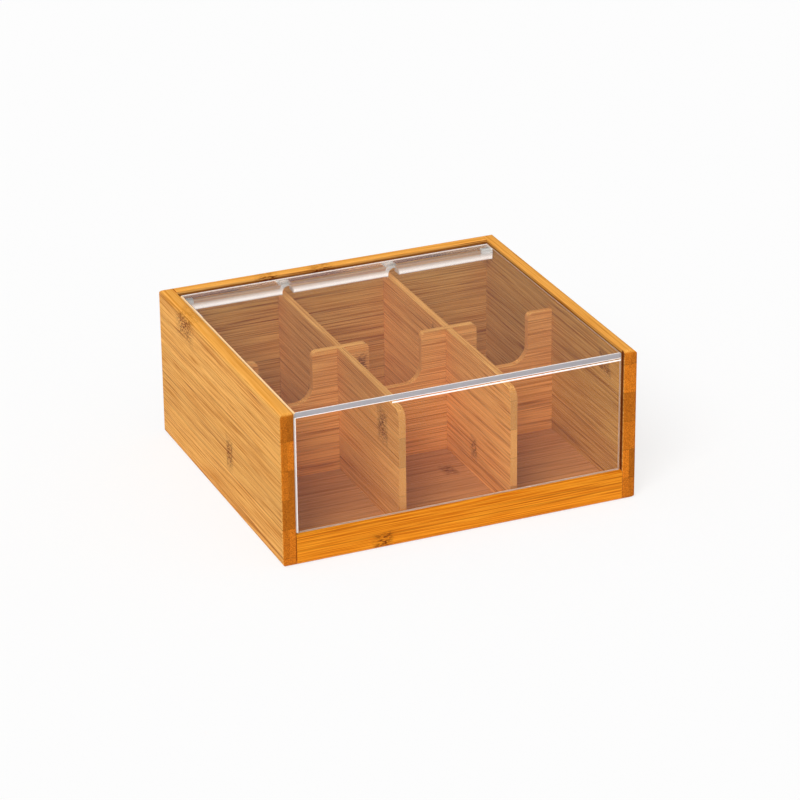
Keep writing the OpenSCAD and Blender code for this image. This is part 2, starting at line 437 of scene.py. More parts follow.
DIVIDER_BOARDS = (
    Board(
        "left_divider", "y", "z", "x", first_joint=-8.0, first_ply=31.0, seed=41.0,
        tone=1.0, inner_tone=1.0, knots=(Knot(-66, 60, 8, 13), Knot(38, 30, 5, 9)),
    ),
    Board(
        "right_divider", "y", "z", "x", first_joint=2.0, first_ply=31.0, seed=47.0,
        tone=1.14, inner_tone=1.0, knots=(Knot(12, 66, 5, 9), Knot(-40, 22, 5, 8)),
    ),
    Board(
        "cross_divider", "x", "z", "y", first_joint=4.0, first_ply=3.0, seed=55.0,
        tone=1.06, inner_tone=1.0, knots=(Knot(-20, 66, 4, 7), Knot(58, 34, 5, 8)),
    ),
)

# A layer of the grain is noise whose features have that length along the grain and that width
# across it. It shows as patches, from nothing at low to full at high, or as lines where it
# comes near its middle, full within low of it and nothing beyond high.
Layer = namedtuple("Layer", "length_mm width_mm detail roughness low high", defaults=(0.0, 1.0))
BANDS = Layer(260.0, 9.0, 1.0, 0.5, 0.4, 0.6)
HAIRLINES = Layer(240.0, 2.4, 0.5, 0.5, 0.008, 0.03)
FINE_LINES = Layer(110.0, 0.8, 0.5, 0.5, 0.02, 0.09)
BREAKS = Layer(70.0, 1.4, 1.0, 0.5, 0.36, 0.54)
FIBRES = Layer(26.0, 0.5, 1.0, 0.5, 0.4, 0.6)
SPECKLE = Layer(3.0, 0.55, 2.0, 0.7, 0.42, 0.6)
TICKS = Layer(2.6, 0.7, 2.0, 0.6, 0.47, 0.54)
WANDER = Layer(6.0, 6.0, 2.0, 0.5)
NOISE_MIDDLE = 0.5

# Vessels are cells of that length and width, dark near their middle, which show where the
# fibres are coarse
VESSEL_LENGTH_MM = 24.0
VESSEL_WIDTH_MM = 1.0
VESSEL_EDGE = (0.14, 0.3)
VESSEL_FIBRES = (0.45, 0.6)

# What each layer adds to the dark tone of the fibres, and to the streaks over them
BAND_TONE = 0.1
FINE_LINE_TONE = 0.5
FIBRE_TONE = 0.4
HAIRLINE_LEAST = 0.7
FINE_LINE_STREAK = 0.22
VESSEL_STREAK = 0.6

# Range of tone from one strip to the next, on the faces and on the sawn ends
STRIP_TONES = (0.94, 1.06)
END_TONES = (0.7, 1.2)
# How far the pattern of one strip may lie from the next one's
CANE_SHIFT_MM = 900.0

# Glue joints, as shares of a strip's width, and how much they darken
JOINT_EDGE = (0.006, 0.018)
JOINT_SHADE = 0.25

# Normals along the grain at which a face starts to be a sawn end, and is one, and how dark the
# vessels and the speckles of an end are
END_FACING = (0.55, 0.8)
END_VESSELS = 0.7
END_SPECKLE = 0.62

# Normals along Z at which a face starts to be a rim, and is one, and its share of the rim tone, which
# is painted light
RIM_FACING = (0.5, 0.9)
RIM_SHARE = 0.45
# From a board's inner plane to where its inner tone starts to fade, and is gone
INNER_EDGE_MM = (0.1, 0.5)

# Painted shade: the narrow gap round the lid darkens the boards beside it along a line with soft
# edges, whose places are taken forwards from the front sheet's face and upwards from the top sheet's
# foot
GAP_FRONT_MM = (-1.7, -1.3, 1.0, 1.6)
GAP_TOP_MM = (0.2, 0.6, 2.1, 2.6)
GAP_FOOT_MM = 0.5
GAP_TOP_SHADE = 0.7
GAP_SHADE = 0.9

# Node marks wander along and across the grain, are full in their core, and are weak between
# their ticks
KNOT_WANDER_MM = (6.0, 5.0)
KNOT_CORE = 0.3
KNOT_WEAK = 0.14

# Relief of each layer, how strong it looks, and what the fibres and the ends add to roughness
BAMBOO_BUMP = 0.06
FIBRE_RELIEF = 0.5
HAIRLINE_RELIEF = 0.25
VESSEL_RELIEF = 0.3
JOINT_RELIEF = 0.5
FIBRE_ROUGHNESS = 0.12
END_ROUGHNESS = 0.12


def palette(settings, part):
    """The colours of one kind of board, and how strong its dark hairlines are."""
    return Palette(*(getattr(settings, part + "_" + field) for field in Palette._fields))


def stretched(shade, spot, length_mm, width_mm):
    """Place whose unit is that length along the grain and that width across it."""
    return shade.vector(spot.along / length_mm, spot.across / width_mm, spot.through / width_mm)


def grain_noise(shade, spot, layer):
    """A layer's plain noise."""
    place = stretched(shade, spot, layer.length_mm, layer.width_mm)
    return shade.noise(place, 1.0, layer.detail, layer.roughness)


def patches(shade, spot, layer):
    """A layer that shows as patches."""
    return shade.ramp(grain_noise(shade, spot, layer), layer.low, layer.high)


def lines(shade, spot, layer):
    """A layer that shows as lines."""
    from_middle = abs(grain_noise(shade, spot, layer) - NOISE_MIDDLE)
    return 1.0 - shade.ramp(from_middle, layer.low, layer.high)


def vessel_dots(shade, spot):
    """1 in the long dark vessels of the cane."""
    place = stretched(shade, spot, VESSEL_LENGTH_MM, VESSEL_WIDTH_MM)
    cells = shade.add(
        "TexVoronoi", {"feature": "F1"}, {"Vector": place, "Scale": 1.0}, "Distance"
    )
    return 1.0 - shade.ramp(cells, *VESSEL_EDGE)


def node_marks(shade, knots, spot):
    """Strong in the ticks of the cane's node marks, weak between them and 0 elsewhere."""
    wander = grain_noise(shade, spot, WANDER) - NOISE_MIDDLE
    along = spot.along + wander * KNOT_WANDER_MM[0]
    across = spot.across + wander * KNOT_WANDER_MM[1]
    mask = 0.0
    for knot in knots:
        off_along = abs(along - knot.along) / knot.half_length
        off_across = abs(across - knot.across) / knot.half_width
        off = shade.math("MAXIMUM", off_along, off_across)
        mask = shade.math("MAXIMUM", mask, 1.0 - shade.ramp(off, KNOT_CORE, 1.0))
    return mask * shade.blend(patches(shade, spot, TICKS), KNOT_WEAK, 1.0)


def painted_gap_mask(shade, board, place):
    """Painted shade beside the lid on a board: full at the front, less at the top."""
    height = place["z"] * PER_MM
    sheet_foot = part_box("lid_top_sheet")[0].z * PER_MM
    top = shade.between(height - sheet_foot, GAP_TOP_MM) * GAP_TOP_SHADE
    if board.through != "x":
        return top
    rail_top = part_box("front_rail")[1].z * PER_MM
    above_rail = shade.ramp(height, rail_top - GAP_FOOT_MM, rail_top)
    sheet_front = -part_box("lid_front_sheet")[0].y * PER_MM
    front = shade.between(place["y"] * -PER_MM - sheet_front, GAP_FRONT_MM)
    return shade.math("MAXIMUM", front * above_rail, top)


def outer_board(shade, base, board, settings, place, through, upward):
    """Colour of an outer board: painted light on its upward faces, and painted shade on its inner
    face, darkest beside the lid.
    """
    # Painted light on the faces that look upwards.
    rim = shade.ramp(upward, *RIM_FACING)
    base = shade.mix(rim * RIM_SHARE, base, settings.rim)
    # Painted shade: the inner face is darkened by the board's inner tone.
    axis = "xyz".index(board.through)
    inner_mm = min(abs(corner[axis]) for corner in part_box(board.node)) * PER_MM
    inner = 1.0 - shade.ramp(through, *(inner_mm + edge for edge in INNER_EDGE_MM))
    base = shade.tone(base, 1.0 - inner * (1.0 - board.inner_tone))
    # Painted shade: the inner face turns dark along the lid's narrow gap.
    painted_gap_share = inner * painted_gap_mask(shade, board, place)
    return shade.mix(painted_gap_share * GAP_SHADE, base, settings.gap)


def cane_grain(shade, cane):
    """The layers that make the grain of a cane."""
    breaks = patches(shade, cane, BREAKS)
    return Grain(
        bands=patches(shade, cane, BANDS),
        breaks=breaks,
        hairlines=lines(shade, cane, HAIRLINES) * breaks,
        fine_lines=lines(shade, cane, FINE_LINES),
        fibres=grain_noise(shade, cane, FIBRES),
        vessels=vessel_dots(shade, cane),
    )


def face_colour(shade, grain, colours, settings):
    """Colour along the fibres: fine dark lines on a pale ground, and darker streaks."""
    coarse = shade.ramp(grain.fibres, FIBRES.low, FIBRES.high)
    tone = grain.bands * BAND_TONE + grain.fine_lines * FINE_LINE_TONE + coarse * FIBRE_TONE
    ground = shade.mix(tone, colours.light, colours.dark)
    streaks = grain.hairlines * shade.blend(grain.bands, HAIRLINE_LEAST, 1.0)
    streaks = streaks + grain.fine_lines * (grain.breaks + 1.0) * FINE_LINE_STREAK
    streaks = streaks + grain.vessels * shade.ramp(grain.fibres, *VESSEL_FIBRES) * VESSEL_STREAK
    return shade.mix(streaks * colours.streaking, ground, settings.streak)


def end_colour(shade, spot, vessels, colours):
    """Colour of a sawn end: packed fibres, darker than the face and speckled."""
    speckle = patches(shade, spot, SPECKLE)
    pores = shade.math("MAXIMUM", vessels * END_VESSELS, speckle * END_SPECKLE)
    return shade.mix(pores, colours.end_light, colours.end_dark)


def glue_joint(shade, strips_across):
    """1 in the hairline joints between strips."""
    in_strip = shade.math("FRACT", strips_across)
    to_joint = shade.math("MINIMUM", in_strip, 1.0 - in_strip)
    return 1.0 - shade.ramp(to_joint, *JOINT_EDGE)


def bamboo(board, colours, settings):
    """Lacquered bamboo: glued strips and plies with fibres, vessels and node marks."""
    shade = new_material(board.node + "_bamboo")
    place = shade.axes("Object")
    facing = shade.axes("Normal")
    spot = Spot(
        place[board.grain] * PER_MM, place[board.across] * PER_MM,
        abs(place[board.through]) * PER_MM,
    )
    strips_across = (spot.across - board.first_joint) / (settings.strip * PER_MM)
    plies_through = (spot.through - board.first_ply) / (settings.ply * PER_MM)
    strip, ply = (shade.math("FLOOR", count) for count in (strips_across, plies_through))
    own = shade.random(strip, ply, board.seed)

    # Each strip is cut from another cane, so its pattern starts elsewhere.
    grain = cane_grain(shade, spot._replace(along=spot.along + own * CANE_SHIFT_MM))
    face = face_colour(shade, grain, colours, settings)
    face = shade.mix(node_marks(shade, board.knots, spot), face, settings.knot)
    face = shade.tone(face, shade.blend(own, *STRIP_TONES))
    end = end_colour(shade, spot, grain.vessels, colours)
    end = shade.tone(end, shade.blend(own, *END_TONES))
    on_end = shade.ramp(abs(facing[board.grain]), *END_FACING)
    joint = glue_joint(shade, strips_across)
    base = shade.mix(on_end, face, end)
    base = shade.tone(base, (1.0 - joint * JOINT_SHADE) * board.tone)
    if board.inner_tone < 1.0:
        base = outer_board(shade, base, board, settings, place, spot.through, facing["z"])

    relief = grain.fibres * FIBRE_RELIEF - grain.hairlines * HAIRLINE_RELIEF
    relief = relief - grain.vessels * VESSEL_RELIEF - joint * JOINT_RELIEF
    roughness = settings.sheen + grain.fibres * FIBRE_ROUGHNESS + on_end * END_ROUGHNESS
    surface = shade.principled(
        Base_Color=base,
        Roughness=roughness,
        Specular_IOR_Level=settings.gloss,
        Normal=shade.bump(relief, strength=BAMBOO_BUMP, distance=0.2 * MM),
    )
    return shade.finish(surface)


def dress(node_name, material):
    """Give a CAD piece its only material."""
    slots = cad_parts[node_name].data.materials
    slots.clear()
    slots.append(material)


def dress_boards(boards, context, part):
    """Give CAD boards their own bamboo, in one part's colours."""
    settings = context.scene.teabox_bamboo
    for board in boards:
        dress(board.node, bamboo(board, palette(settings, part), settings))


# ---------------------------------------------------------------- other finishes

# Materials of a clear piece, by slot
CLEAR, SAWN, BRIGHT, HIGHLIGHTED_LEFT, REFLECTS_BAMBOO, FROSTED, STRIP_HIGHLIGHT = range(7)

# Colours of the light that each finish lets through to what lies behind
POLISHED_PASS = (0.97, 0.975, 0.975)
MATT_PASS = (0.8, 0.8, 0.8)
MILLED_PASS = (0.9, 0.9, 0.9)

# Painted highlight: a strip of the bar's front just above its foot is matt and glows. Its height
# above the foot, how matt the bar is elsewhere and on it, and how far its marks turn the strip's
# colour to the sawn one
STRIP_HIGHLIGHT_MM = (0.2, 0.9, 1.8, 4.5)
MATT_SHARES = (0.18, 1.0)
STRIP_MARKS = 0.3
MILLED_ROUGHNESS = 0.02

# Roughness of the rub marks on polished faces, and what the marks on matt ones add to theirs
RUBBED_ROUGHNESS = 0.015
MARKED_ROUGHNESS = 0.2
# Saw marks are drawn out along Z to this many times their width, and dark to this level
MARK_LENGTH = 10.0
MARK_TONE = 0.85

# Rings per millimetre along a pin and per metre across it, and how dark and rough they are
RINGS_ALONG = 6.0
RINGS_ACROSS = 40.0
RING_TONE = 0.8
RING_ROUGHNESS = (0.28, 0.46)

# Scale of the beech's grain along a dowel against across it, the tones of its dark grain and
# its flecks, how much of a fleck shows, and how rough the grain is
BEECH_STRETCH = 0.12
BEECH_DARK_TONE = 0.72
FLECK_TONE = 0.4
FLECK_SHARE = 0.5
BEECH_ROUGHNESS = (0.6, 0.75)


def lets_light_through(shade, glass, passing):
    """Glass to the eye, and plainly clear to lamps and to light scattered by what lies behind."""
    clear = shade.add("BsdfTransparent", None, {"Color": opaque(passing)})
    shadow, scattered = shade.rays("Is Shadow Ray", "Is Diffuse Ray")
    passes = shade.math("MAXIMUM", shadow, scattered)
    return shade.add("MixShader", None, {0: passes, 1: glass, 2: clear})


def polished_acrylic(settings, name, mirror):
    """Clear cast acrylic with faint rub marks."""
    shade = new_material(name)
    place = shade.add("TexCoord", None, None, "Object")
    rubbed = shade.noise(place, scale=40.0, detail=4.0, roughness=0.6)
    glass = shade.principled(
        Base_Color=opaque(settings.body),
        Roughness=shade.ramp(rubbed, low=0.45, high=0.8) * RUBBED_ROUGHNESS,
        IOR=settings.ior,
        Specular_Tint=(mirror, mirror, mirror, 1.0),
        Transmission_Weight=1.0,
    )
    return shade.finish(lets_light_through(shade, glass, POLISHED_PASS))


def matt_acrylic(settings, name, face, glow, see_through):
    """Acrylic left matt by the saw or the drill, with fine marks; glow is painted light that it gives
    off.
    """
    shade = new_material(name)
    place = shade.axes("Object")
    drawn_out = shade.vector(
        place["x"] * PER_MM, place["y"] * PER_MM, place["z"] / MARK_LENGTH * PER_MM
    )
    marks = shade.noise(drawn_out, scale=2.2, detail=3.0, roughness=0.65)
    tone = shade.mix(marks, darker(face, MARK_TONE), face)
    frosted = shade.principled(
        Base_Color=tone,
        Roughness=settings.frost + marks * MARKED_ROUGHNESS,
        IOR=settings.ior,
        Transmission_Weight=see_through,
        Emission_Color=tone,
        Emission_Strength=glow,
        Normal=shade.bump(marks, strength=0.35, distance=0.2 * MM),
    )
    return shade.finish(lets_light_through(shade, frosted, MATT_PASS))


def strip_highlight_acrylic(settings, name, foot):
    """Polished acrylic with a painted highlight: matt and glowing over the last millimetres above its
    foot.
    """
    shade = new_material(name)
    height = (shade.axes("Object")["z"] - foot) * PER_MM
    place = shade.add("TexCoord", None, None, "Object")
    clear = shade.principled(
        Base_Color=opaque(settings.body), Roughness=MILLED_ROUGHNESS, IOR=settings.ior,
        Transmission_Weight=1.0,
    )
    marks = shade.noise(place, scale=900.0)
    tone = shade.mix(marks * STRIP_MARKS, settings.bright, settings.sawn)
    matt = shade.principled(
        Base_Color=tone, Roughness=settings.frost, IOR=settings.ior,
        Emission_Color=tone, Emission_Strength=settings.strip_glow,
    )
    matt_share = shade.blend(shade.between(height, STRIP_HIGHLIGHT_MM), *MATT_SHARES)
    mixed = shade.add("MixShader", None, {0: matt_share, 1: clear, 2: matt})
    return shade.finish(lets_light_through(shade, mixed, MILLED_PASS))


def acrylic_set(settings, part, mirror):
    """A clear piece's materials, from CLEAR to FROSTED."""

    def matt(finish, face, glow, see_through):
        return matt_acrylic(settings, part + "_" + finish, face, glow, see_through)

    # The bright, the left and the frosted edges glow with painted light.
    return (
        polished_acrylic(settings, part + "_polished", mirror),
        matt("sawn", settings.sawn, glow=0.0, see_through=0.25),
        matt("bright", settings.bright, glow=settings.glow, see_through=0.1),
        matt("left_edge_highlight", settings.left_edge_highlight, glow=settings.glow, see_through=0.1),
        matt("bamboo_reflection", settings.bamboo_reflection, glow=0.0, see_through=0.6),
        matt("frosted", settings.bright, glow=0.05, see_through=0.45),
    )


def pin_steel(settings):
    """Ground steel with fine rings round the pin."""
    shade = new_material("pin_steel")
    place = shade.axes("Object")
    along_pin = shade.vector(
        place["x"] * PER_MM * RINGS_ALONG, place["y"] * RINGS_ACROSS, place["z"] * RINGS_ACROSS
    )
    rings = shade.noise(along_pin, scale=1.0, detail=3.0)
    metal = shade.principled(
        Base_Color=shade.mix(rings, darker(settings.steel, RING_TONE), settings.steel),
        Metallic=1.0,
        Roughness=shade.blend(rings, *RING_ROUGHNESS),
        Normal=shade.bump(rings, strength=0.15, distance=0.05 * MM),
    )
    return shade.finish(metal)


def beech(settings):
    """Plain beech with short dark flecks along the dowel."""
    shade = new_material("beech")
    place = shade.axes("Object")
    along_dowel = shade.vector(
        place["x"] * PER_MM * BEECH_STRETCH, place["y"] * PER_MM, place["z"] * PER_MM
    )
    grain = shade.noise(along_dowel, scale=1.6, detail=3.0, roughness=0.6)
    flecks = shade.ramp(shade.noise(along_dowel, scale=5.0, detail=1.0), low=0.62, high=0.72)
    base = shade.mix(grain, settings.beech, darker(settings.beech, BEECH_DARK_TONE))
    base = shade.mix(flecks * FLECK_SHARE, base, darker(settings.beech, FLECK_TONE))
    wood = shade.principled(
        Base_Color=base,
        Roughness=shade.blend(grain, *BEECH_ROUGHNESS),
        Normal=shade.bump(grain, strength=0.2, distance=0.1 * MM),
    )
    return shade.finish(wood)


# ---------------------------------------------------------------- meshes

# Least part of a normal along an axis for its face to look that way, to lean that way, and for
# the upper steps of a rounded left edge to stay as clear as the sheet
FACING = 0.9
LEANING = 0.1
NEARLY_UP = 0.94
SHARP_ANGLE = math.radians(40)
# Sides of a round bore or pin, and steps of a rounded edge, a bevel and a chamfer
ROUND_SIDES = 48
ROUND_STEPS = 4
BEVEL_STEPS = 2
CHAMFER_STEPS = 1
# How far a cutter passes the face that it cuts, and a length too small to matter
OVERCUT = 1 * MM
HAIR = 0.001 * MM


def mesh_object(name, mesh, materials=()):
    """Object in the scene that takes over a bmesh."""
    data = bpy.data.meshes.new(name)
    mesh.to_mesh(data)
    mesh.free()
    for material in materials:
        data.materials.append(material)
    made = bpy.data.objects.new(name, data)
    bpy.context.scene.collection.objects.link(made)
    return made


def new_piece(name, mesh, materials, nodes, body):
    """Object of a bmesh, riding on a body in place of its CAD nodes."""
    piece = mesh_object(name, mesh, materials)
    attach(piece, body)
    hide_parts(*nodes)


def solid_block(low, high):
    """Mesh of a plain block between two corners."""
    mesh = bmesh.new()
    bmesh.ops.create_cube(mesh, size=1.0)
    bmesh.ops.scale(mesh, vec=high - low, verts=mesh.verts)
    bmesh.ops.translate(mesh, vec=(low + high) / 2, verts=mesh.verts)
    return mesh


def upright_rod(height, radius):
    """Mesh of a round rod that stands about the origin."""
    mesh = bmesh.new()
    bmesh.ops.create_cone(
        mesh, cap_ends=True, segments=ROUND_SIDES, radius1=radius, radius2=radius, depth=height
    )
    return mesh


def lay_down(mesh, axis, centre):
    """Turn an upright mesh by a quarter round an axis and set it in its place."""
    quarter = Matrix.Rotation(math.pi / 2, 3, axis)
    bmesh.ops.rotate(mesh, matrix=quarter, verts=mesh.verts)
    bmesh.ops.translate(mesh, vec=centre, verts=mesh.verts)


def ease(mesh, edges, width, segments):
    """Round some edges of a mesh."""
    bmesh.ops.bevel(
        mesh, geom=list(edges), offset=width, offset_type="OFFSET", segments=segments,
        profile=0.5, affect="EDGES", material=-1,
    )


def sharp_edges(mesh):
    """Edges between faces that meet at a clear angle."""
    return [e for e in mesh.edges if len(e.link_faces) == 2 and e.calc_face_angle(0) > SHARP_ANGLE]


def edge_finish(normal, lies_flat):
    """Slot of an edge face; the sheet that lies flat has a sawn front and a painted highlight on its
    left side.
    """
    if lies_flat and normal.y < -FACING:
        return SAWN
    # Right and lower edges carry a painted reflection of the bamboo.
    if normal.x > LEANING or normal.z < -LEANING:
        return REFLECTS_BAMBOO
    return HIGHLIGHTED_LEFT if lies_flat and normal.x < -LEANING else BRIGHT


def finish_sheet(mesh, lies_flat):
    """Give a clear sheet its broad clear faces and the finishes of its edges."""
    broad = max(face.calc_area() for face in mesh.faces) / 2
    for face in mesh.faces:
        lip = face.normal.x < -LEANING and face.normal.z > NEARLY_UP
        clear = lip or face.calc_area() > broad
        face.material_index = CLEAR if clear else edge_finish(face.normal, lies_flat)
        face.smooth = not clear


def score(mesh, place, normal):
    """Cut a line round a mesh on a plane, so that its faces can differ on the two sides."""
    bmesh.ops.bisect_plane(
        mesh, geom=[*mesh.verts, *mesh.edges, *mesh.faces], plane_co=place, plane_no=normal,
    )


def paint_glint(mesh, clear, glint_top):
    """Mark off a painted glint, a glowing bright line on the front sheet's face below the joint."""
    glint_foot = glint_top - clear.glint
    for height in (glint_top, glint_foot):
        score(mesh, (0, 0, height), (0, 0, 1))
    score(mesh, (clear.glint_start, 0, 0), (1, 0, 0))
    for face in mesh.faces:
        centre = face.calc_center_median()
        on_glint = glint_foot < centre.z < glint_top and centre.x > clear.glint_start
        if on_glint and face.normal.y < -FACING:
            face.material_index = BRIGHT


def bore_cutter(x0, x1, y, z, radius):
    """Object of a drill's path along X."""
    mesh = upright_rod(x1 - x0, radius)
    lay_down(mesh, "Y", ((x0 + x1) / 2, y, z))
    return cutter(mesh)


def arch_cutter(x, y0, y1, foot, crown, width):
    """Object of a round-topped notch along Y."""
    radius = width / 2
    spring = crown - radius
    mesh = upright_rod(y1 - y0, radius)
    lay_down(mesh, "X", (x, (y0 + y1) / 2, spring))
    for vert in mesh.verts:
        if vert.co.z < spring - HAIR:
            vert.co.z = foot
    return cutter(mesh)


def cutter(mesh):
    """Object whose faces leave the frosted finish where they cut."""
    for face in mesh.faces:
        face.material_index = FROSTED
        face.smooth = True
    bmesh.ops.recalc_face_normals(mesh, faces=mesh.faces)
    return mesh_object("cutter", mesh)


def pin_drills(clear, bar_end):
    """Cutters of the bores round the right and the left pin, open at the bar's ends."""
    low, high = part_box("right_hinge_pin")
    radius = (high.z - low.z) / 2 + clear.pin_play
    y, z = (low.y + high.y) / 2, (low.z + high.z) / 2
    start, end = low.x - clear.bore_end_gap, bar_end + OVERCUT
    return [bore_cutter(x0, x1, y, z, radius) for x0, x1 in ((start, end), (-end, -start))]


def notch_cutters(clear, low, high):
    """Cutters of the bar's notches over the right and the left long divider."""
    divider_low, divider_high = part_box("right_divider")
    middle = (divider_low.x + divider_high.x) / 2
    width = divider_high.x - divider_low.x + 2 * clear.notch_gap
    front, back = low.y - OVERCUT, high.y + OVERCUT
    foot, crown = low.z - OVERCUT, low.z + clear.notch_height
    return [arch_cutter(x, front, back, foot, crown, width) for x in (middle, -middle)]


def cut_away(mesh, materials, tools):
    """Mesh with each tool's shape taken out of it; the tools are used up."""
    blank = mesh_object("blank", mesh, materials)
    for tool in tools:
        step = blank.modifiers.new("cut", "BOOLEAN")
        step.operation = "DIFFERENCE"
        step.solver = "EXACT"
        step.object = tool
    cut = bmesh.new()
    cut.from_object(blank, bpy.context.evaluated_depsgraph_get())
    for thing in (blank, *tools):
        used = thing.data
        bpy.data.objects.remove(thing)
        bpy.data.meshes.remove(used)
    return cut


# ---------------------------------------------------------------- operators


class TEABOX_OT_side_panels(bpy.types.Operator):
    """Give the two side panels their bamboo"""

    bl_idname = "teabox.side_panels"
    bl_label = "Side panels"

    def execute(self, context):
        dress_boards(SIDE_BOARDS, context, "side")
        return {"FINISHED"}


class TEABOX_OT_back_panel(bpy.types.Operator):
    """Give the back panel its bamboo"""

    bl_idname = "teabox.back_panel"
    bl_label = "Back panel"

    def execute(self, context):
        dress_boards((BACK_BOARD,), context, "side")
        return {"FINISHED"}


class TEABOX_OT_front_rail(bpy.types.Operator):
    """Give the front rail its honey-toned bamboo"""

    bl_idname = "teabox.front_rail"
    bl_label = "Front rail"

    def execute(self, context):
        dress_boards((RAIL_BOARD,), context, "rail")
        return {"FINISHED"}


class TEABOX_OT_base_panel(bpy.types.Operator):
    """Give the base panel its bamboo"""

    bl_idname = "teabox.base_panel"
    bl_label = "Base panel"

    def execute(self, context):
        dress_boards((BASE_BOARD,), context, "base")
        return {"FINISHED"}


class TEABOX_OT_dividers(bpy.types.Operator):
    """Give the long dividers and the cross divider their bamboo"""

    bl_idname = "teabox.dividers"
    bl_label = "Dividers"

    def execute(self, context):
        dress_boards(DIVIDER_BOARDS, context, "divider")
        return {"FINISHED"}


class TEABOX_OT_top_sheet(bpy.types.Operator):
    """Cut the lid's clear top sheet, with a sawn front edge and rounded upper edges"""

    bl_idname = "teabox.top_sheet"
    bl_label = "Lid top sheet"

    def execute(self, context):
        clear = context.scene.teabox_acrylic
        low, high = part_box("lid_top_sheet")
        mesh = solid_block(low, high)
        above = low.z + clear.arris
        front = low.y + clear.arris
        upper = [
            e for e in mesh.edges
            if all(v.co.z > above for v in e.verts) and any(v.co.y > front for v in e.verts)
        ]
        ease(mesh, upper, clear.rounding, ROUND_STEPS)
        ease(mesh, sharp_edges(mesh), clear.arris, BEVEL_STEPS)
        finish_sheet(mesh, lies_flat=True)
        materials = acrylic_set(clear, "top_sheet", clear.mirror)
        new_piece("clear_top_sheet", mesh, materials, ("lid_top_sheet",), LID_BODY)
        return {"FINISHED"}


class TEABOX_OT_front_sheet(bpy.types.Operator):
    """Cut the lid's clear front sheet, glued under the top sheet"""

    bl_idname = "teabox.front_sheet"
    bl_label = "Lid front sheet"

    def execute(self, context):
        clear = context.scene.teabox_acrylic
        low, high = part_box("lid_front_sheet")
        mesh = solid_block(low, high - Vector((0, 0, clear.glue)))
        left_uprights = [
            e for e in mesh.edges
            if abs(e.verts[0].co.z - e.verts[1].co.z) > clear.rounding and e.verts[0].co.x < 0
        ]
        ease(mesh, left_uprights, clear.upright_rounding, ROUND_STEPS)
        ease(mesh, sharp_edges(mesh), clear.arris, BEVEL_STEPS)
        finish_sheet(mesh, lies_flat=False)
        paint_glint(mesh, clear, high.z - clear.glint_drop)
        materials = acrylic_set(clear, "front_sheet", clear.front_mirror)
        new_piece("clear_front_sheet", mesh, materials, ("lid_front_sheet",), LID_BODY)
        return {"FINISHED"}


class TEABOX_OT_hinge_bar(bpy.types.Operator):
    """Mill the lid's clear hinge bar, with its two notches and two bores"""

    bl_idname = "teabox.hinge_bar"
    bl_label = "Lid hinge bar"

    def execute(self, context):
        clear = context.scene.teabox_acrylic
        low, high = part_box("lid_hinge_bar")
        mesh = solid_block(low, high - Vector((0, 0, clear.glue)))
        ease(mesh, mesh.edges, clear.arris, BEVEL_STEPS)
        for face in mesh.faces:
            flat = abs(face.normal.y) > FACING or abs(face.normal.z) > FACING
            # The bar's front face carries the strip of painted highlight.
            painted_strip = face.normal.y < -FACING
            face.material_index = STRIP_HIGHLIGHT if painted_strip else CLEAR if flat else BRIGHT
            face.smooth = not flat
        materials = (
            *acrylic_set(clear, "hinge_bar", clear.mirror),
            strip_highlight_acrylic(clear, "hinge_bar_milled", low.z),
        )
        tools = pin_drills(clear, high.x) + notch_cutters(clear, low, high)
        mesh = cut_away(mesh, materials, tools)
        new_piece("clear_hinge_bar", mesh, materials, ("lid_hinge_bar",), LID_BODY)
        return {"FINISHED"}


class TEABOX_OT_hinge_pins(bpy.types.Operator):
    """Turn the two steel hinge pins, with chamfered ends"""

    bl_idname = "teabox.hinge_pins"
    bl_label = "Hinge pins"

    def execute(self, context):
        hinge = context.scene.teabox_hinge
        steel = pin_steel(hinge)
        for node in ("left_hinge_pin", "right_hinge_pin"):
            low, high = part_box(node)
            mesh = upright_rod(high.x - low.x, (high.z - low.z) / 2)
            ease(mesh, sharp_edges(mesh), hinge.pin_chamfer, CHAMFER_STEPS)
            lay_down(mesh, "Y", (low + high) / 2)
            for face in mesh.faces:
                face.smooth = abs(face.normal.x) < LEANING
            new_piece(node + "_turned", mesh, (steel,), (node,), BOX_BODY)
        return {"FINISHED"}


class TEABOX_OT_dowels(bpy.types.Operator):
    """Give the beech dowels inside the joints their wood"""

    bl_idname = "teabox.dowels"
    bl_label = "Dowels"

    def execute(self, context):
        wood = beech(context.scene.teabox_hinge)
        for node in ("back_dowels", "rail_dowels"):
            dress(node, wood)
        return {"FINISHED"}


# ---------------------------------------------------------------- stage

# Tone of the faint clouds in the floor's paper, and how rough it is
CLOUD_TONE = 0.99
PAPER_ROUGHNESS = 0.9


def floor_paper(settings):
    """Smooth pale paper that keeps part of its shading to the eye."""
    shade = new_material("floor_paper")
    place = shade.add("TexCoord", None, None, "Object")
    cloud = shade.noise(place, scale=3.0)
    base = shade.mix(cloud, darker(settings.floor, CLOUD_TONE), settings.floor)
    paper = shade.principled(
        Base_Color=base, Roughness=PAPER_ROUGHNESS, Specular_IOR_Level=0.0
    )
    white = shade.add("Emission", None, {"Color": opaque(WHITE), "Strength": 1.0})
    seen, mirrored, through = shade.rays("Is Camera Ray", "Is Glossy Ray", "Is Transmission Ray")
    shown = shade.math("MINIMUM", seen + mirrored + through, 1.0)
    mixed = shade.add("MixShader", None, {0: shown * settings.backdrop, 1: paper, 2: white})
    return shade.finish(mixed)


def view_direction(azimuth, elevation):
    """Unit vector that looks from above towards +Y turned by azimuth to +X."""
    return Vector((
        math.sin(azimuth) * math.cos(elevation),
        math.cos(azimuth) * math.cos(elevation),
        -math.sin(elevation),
    ))


